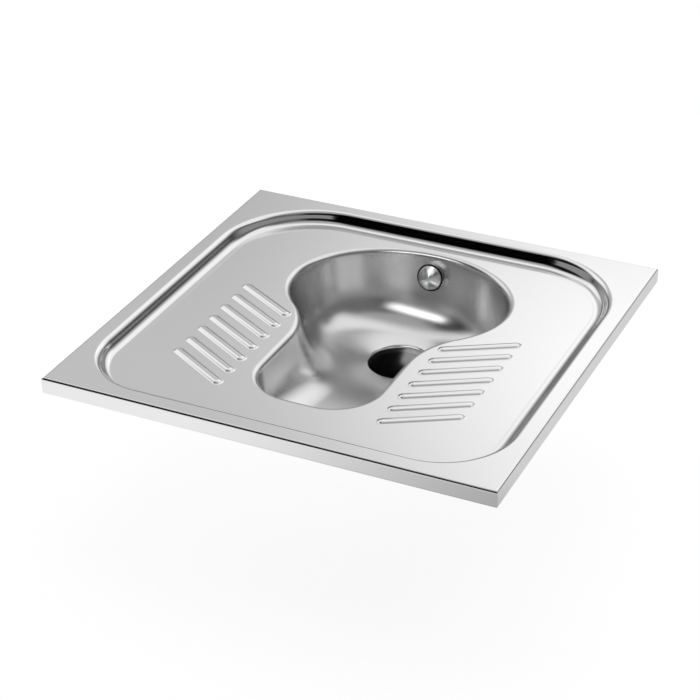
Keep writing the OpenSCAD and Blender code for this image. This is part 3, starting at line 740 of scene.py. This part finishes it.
# Section from the dome's top out over a turned groove and a thin rounded lip, down to the
# undercut foot, and back through the hollow to the boss with the stud's hole
face_r, foot_r = cap_r - lip_w - groove_w, cap_r - foot_in
profile = dome_points(0, 0, face_r - face_edge, dome_steps)
face_z = profile[-1][1]
lip_z, groove_z = face_z - lip_below, face_z - groove_depth
profile += [(face_r - face_turn, face_z - face_turn_fall), (face_r, face_z - face_fall),
            (face_r, groove_z), (face_r + groove_w, groove_z),
            (face_r + groove_w, lip_z - lip_round), (cap_r - lip_crown * lip_w, lip_z),
            (cap_r - lip_turn * lip_w, lip_z - lip_round), (cap_r, lip_z - lip_fall),
            (cap_r, lip_z - band_h), (foot_r, cap_base + foot_round),
            (foot_r - foot_round, cap_base), (foot_r - cap_wall, cap_base)]
profile += dome_points(cap_wall, foot_r - cap_wall, boss_r, hollow_steps)
profile += [(boss_r, inner_top - boss_len), (stud_hole_r, inner_top - boss_len),
            (stud_hole_r, inner_top - stud_hole_end), (0, inner_top - stud_hole_end)]
bm = bmesh.new()
line = [bm.verts.new((r, 0, z)) for r, z in profile]
edges = [bm.edges.new(pair) for pair in zip(line, line[1:])]
bmesh.ops.spin(bm, geom=line + edges, cent=(0, 0, 0), axis=(0, 0, 1), angle=2 * pi,
               steps=spin_steps, use_merge=True)
bmesh.ops.remove_doubles(bm, verts=bm.verts, dist=on_line)
bmesh.ops.recalc_face_normals(bm, faces=bm.faces)
smooth_faces(bm)
crease(bm, cap_crease)

# The turning's map: once round the cap, and up along its axis
turned = bm.loops.layers.uv.new("turning")
for face in bm.faces:
    middle = face.calc_center_median()
    about = atan2(middle.y, middle.x)
    for corner in face.loops:
        p = corner.vert.co
        a = atan2(p.y, p.x) if hypot(p.x, p.y) > 0.1 * on_line else about
        a += 2 * pi * round((about - a) / (2 * pi))
        corner[turned].uv = (a / (2 * pi), p.z / cap_h)

# The back wall's place and lean on the inlet's axis
c = wall_section(*outline[0])
low, high = 0.0, 1.0
for _ in range(halvings):
    share = (low + high) / 2
    if section_point(c, share).y < inlet_z:
        high = share
    else:
        low = share
slant = ((1 - share) ** 2 * (c[1] - c[0]) + 2 * (1 - share) * share * (c[2] - c[1])
         + share ** 2 * (c[3] - c[2]))
wall_lean = radians(90) - atan2(-slant.y, slant.x)
inlet_face_y = outline[0][0].y - section_point(c, share).x
lean = Matrix.Rotation(radians(90) - wall_lean, 3, "X")
bmesh.ops.rotate(bm, verts=bm.verts, cent=(0, 0, 0), matrix=lean)
bmesh.ops.translate(bm, verts=bm.verts, vec=(0, inlet_face_y, inlet_z))
cap = new_object("turned_spreader_cap", bm)
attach(cap, "root")
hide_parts("spreader_cap")
inside_bowl.objects.link(cap)
cap_only.objects.link(cap)


def two_tone(tree, share, first, last):
    """A ramp from one colour to another."""
    ramp = add_node(tree, "ValToRGB", {"Fac": share})
    ramp.color_ramp.elements[0].color = first
    ramp.color_ramp.elements[1].color = last
    return ramp


lathe, tree, surface = new_material("lathe_polished_steel")
rings = add_node(tree, "Tangent", direction_type="UV_MAP", uv_map="turning").outputs[0]
turns = add_node(tree, "UVMap", uv_map="turning").outputs[0]
lines = add_node(tree, "Mapping", {"Vector": turns, "Scale": (2, 260, 1)}).outputs[0]
fine = noise(tree, lines, scale=1.0, detail=3.0)
gloss = spread(tree, fine, low=0.23, high=0.32)
up = add_node(tree, "SeparateXYZ", {0: turns}).outputs["Y"]
# Painted shade: the groove between the dome and the lip is coloured near black, standing in for
# the shade that falls in it
groove_shade_from, groove_shade_to = (lip_z - groove_shade_below) / cap_h, (face_z - groove_shade_above) / cap_h
groove_painted_shade = times(tree, ease(tree, up, groove_shade_from, groove_shade_from + groove_shade_soft),
                  ease(tree, up, groove_shade_to - groove_shade_soft, groove_shade_to, 1.0, 0.0))
tone = two_tone(tree, groove_painted_shade, first=(0.90, 0.905, 0.91, 1), last=(0.03, 0.03, 0.03, 1))
steel = add_node(tree, "BsdfPrincipled", {
    "Base Color": tone.outputs[0], "Metallic": 1.0, "Roughness": gloss, "Anisotropic": 0.92,
    "Anisotropic Rotation": 0.25, "Tangent": rings,
    "Normal": bumps(tree, fine, strength=0.06, distance=0.00004)})
tree.links.new(steel.outputs[0], surface)
cap.data.materials.append(lathe)


def dress(material, *names):
    """Give CAD nodes that keep their shape a finish."""
    for name in names:
        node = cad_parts[name]
        for holder in node.material_slots:
            holder.material = material
        if not node.material_slots:
            node.data.materials.append(material)


# ---- Waste spigot, inlet tube and crossbar -----------------------------------------
# Lengths of welded stainless tube and flat bar in their mill finish, which is duller than
# the pressings. The spigot hangs under the drain and the inlet tube pierces the back wall.
in_pipe.objects.link(bpy.data.objects["outlet_spigot"])
dress(satin_steel("mill_tube", colour=(0.62, 0.625, 0.63), rough=0.20, uneven=0.04, grain=0.15,
                  streak=(1, 1, 0.1)),
      "outlet_spigot", "inlet_spigot", "spreader_crossbar")

# ---- Anchor lugs, stiffeners and earth tag -----------------------------------------
# Strips sheared and folded from mill-finish stainless, spot welded under the deck. Their
# surface is dull, with long rolling marks.
dress(satin_steel("mill_strip", colour=(0.58, 0.585, 0.59), rough=0.42, uneven=0.05, grain=0.3,
                  streak=(1, 0.06, 1)),
      "anchor_lug_front_left", "anchor_lug_front_right", "anchor_lug_back_left",
      "anchor_lug_back_right", "stiffener_left", "stiffener_right", "earth_tag")

# ---- Stud, washer and nuts ---------------------------------------------------------
# Standard threaded fixings of zinc-plated steel that hold the cap on the crossbar. Zinc
# has a bluish grey tone with cloudy patches.
zinc, tree, surface = new_material("zinc_plate")
where = on_piece(tree)
cloud = noise(tree, where, scale=350.0, detail=4.0)
tone = two_tone(tree, cloud, first=(0.50, 0.53, 0.57, 1), last=(0.66, 0.67, 0.68, 1))
plate = add_node(tree, "BsdfPrincipled", {
    "Base Color": tone.outputs[0], "Metallic": 1.0,
    "Roughness": spread(tree, cloud, low=0.30, high=0.48),
    "Normal": bumps(tree, cloud, strength=0.2, distance=0.0001)})
tree.links.new(plate.outputs[0], surface)
dress(zinc, "spreader_stud", "spreader_washer", "spreader_nuts")

# ---- Inlet seal --------------------------------------------------------------------
# A moulded black rubber sleeve with a collar, pushed into the inlet tube, that grips the
# flush pipe. Rubber is matt, with a light bloom.
rubber, tree, surface = new_material("moulded_rubber")
where = on_piece(tree)
bloom = noise(tree, where, scale=160.0, detail=5.0)
tone = two_tone(tree, bloom, first=(0.018, 0.018, 0.020, 1), last=(0.040, 0.040, 0.043, 1))
skin = add_node(tree, "BsdfPrincipled", {
    "Base Color": tone.outputs[0], "Roughness": spread(tree, bloom, low=0.50, high=0.68),
    "Normal": bumps(tree, bloom, strength=0.2, distance=0.0002)})
tree.links.new(skin.outputs[0], surface)
dress(rubber, "inlet_seal")

# ---- Damping pads ------------------------------------------------------------------
# Self-adhesive bitumen sheet, cut to strips and pressed on under the deck so that it
# doesn't drum. It is nearly black, with a mineral grain.
bitumen, tree, surface = new_material("bitumen_sheet")
where = on_piece(tree)
mineral = add_node(tree, "TexVoronoi", {"Vector": where, "Scale": 700.0}).outputs["Distance"]
wave = noise(tree, where, scale=60.0, detail=4.0)
tone = two_tone(tree, wave, first=(0.030, 0.030, 0.032, 1), last=(0.065, 0.064, 0.062, 1))
pad = add_node(tree, "BsdfPrincipled", {
    "Base Color": tone.outputs[0], "Roughness": 0.82,
    "Normal": bumps(tree, mineral, strength=0.5, distance=0.0004)})
tree.links.new(pad.outputs[0], surface)
dress(bitumen, "damping_pad_left", "damping_pad_right", "damping_pad_front")

# ---- Earth bolt, washers and nut ---------------------------------------------------
# Plain machined brass, on the tag that the building's earth wire is clamped to. The
# brass is a little dull, with darker spots.
brass, tree, surface = new_material("machined_brass")
where = on_piece(tree)
spots = noise(tree, where, scale=420.0, detail=5.0, rough=0.6)
tone = two_tone(tree, spots, first=(0.38, 0.25, 0.09, 1), last=(0.66, 0.49, 0.20, 1))
tone.color_ramp.elements[0].position = 0.3
metal = add_node(tree, "BsdfPrincipled", {
    "Base Color": tone.outputs[0], "Metallic": 1.0,
    "Roughness": spread(tree, spots, low=0.42, high=0.24),
    "Normal": bumps(tree, spots, strength=0.1, distance=0.0001)})
tree.links.new(metal.outputs[0], surface)
dress(brass, "earth_bolt", "earth_washers", "earth_nut")
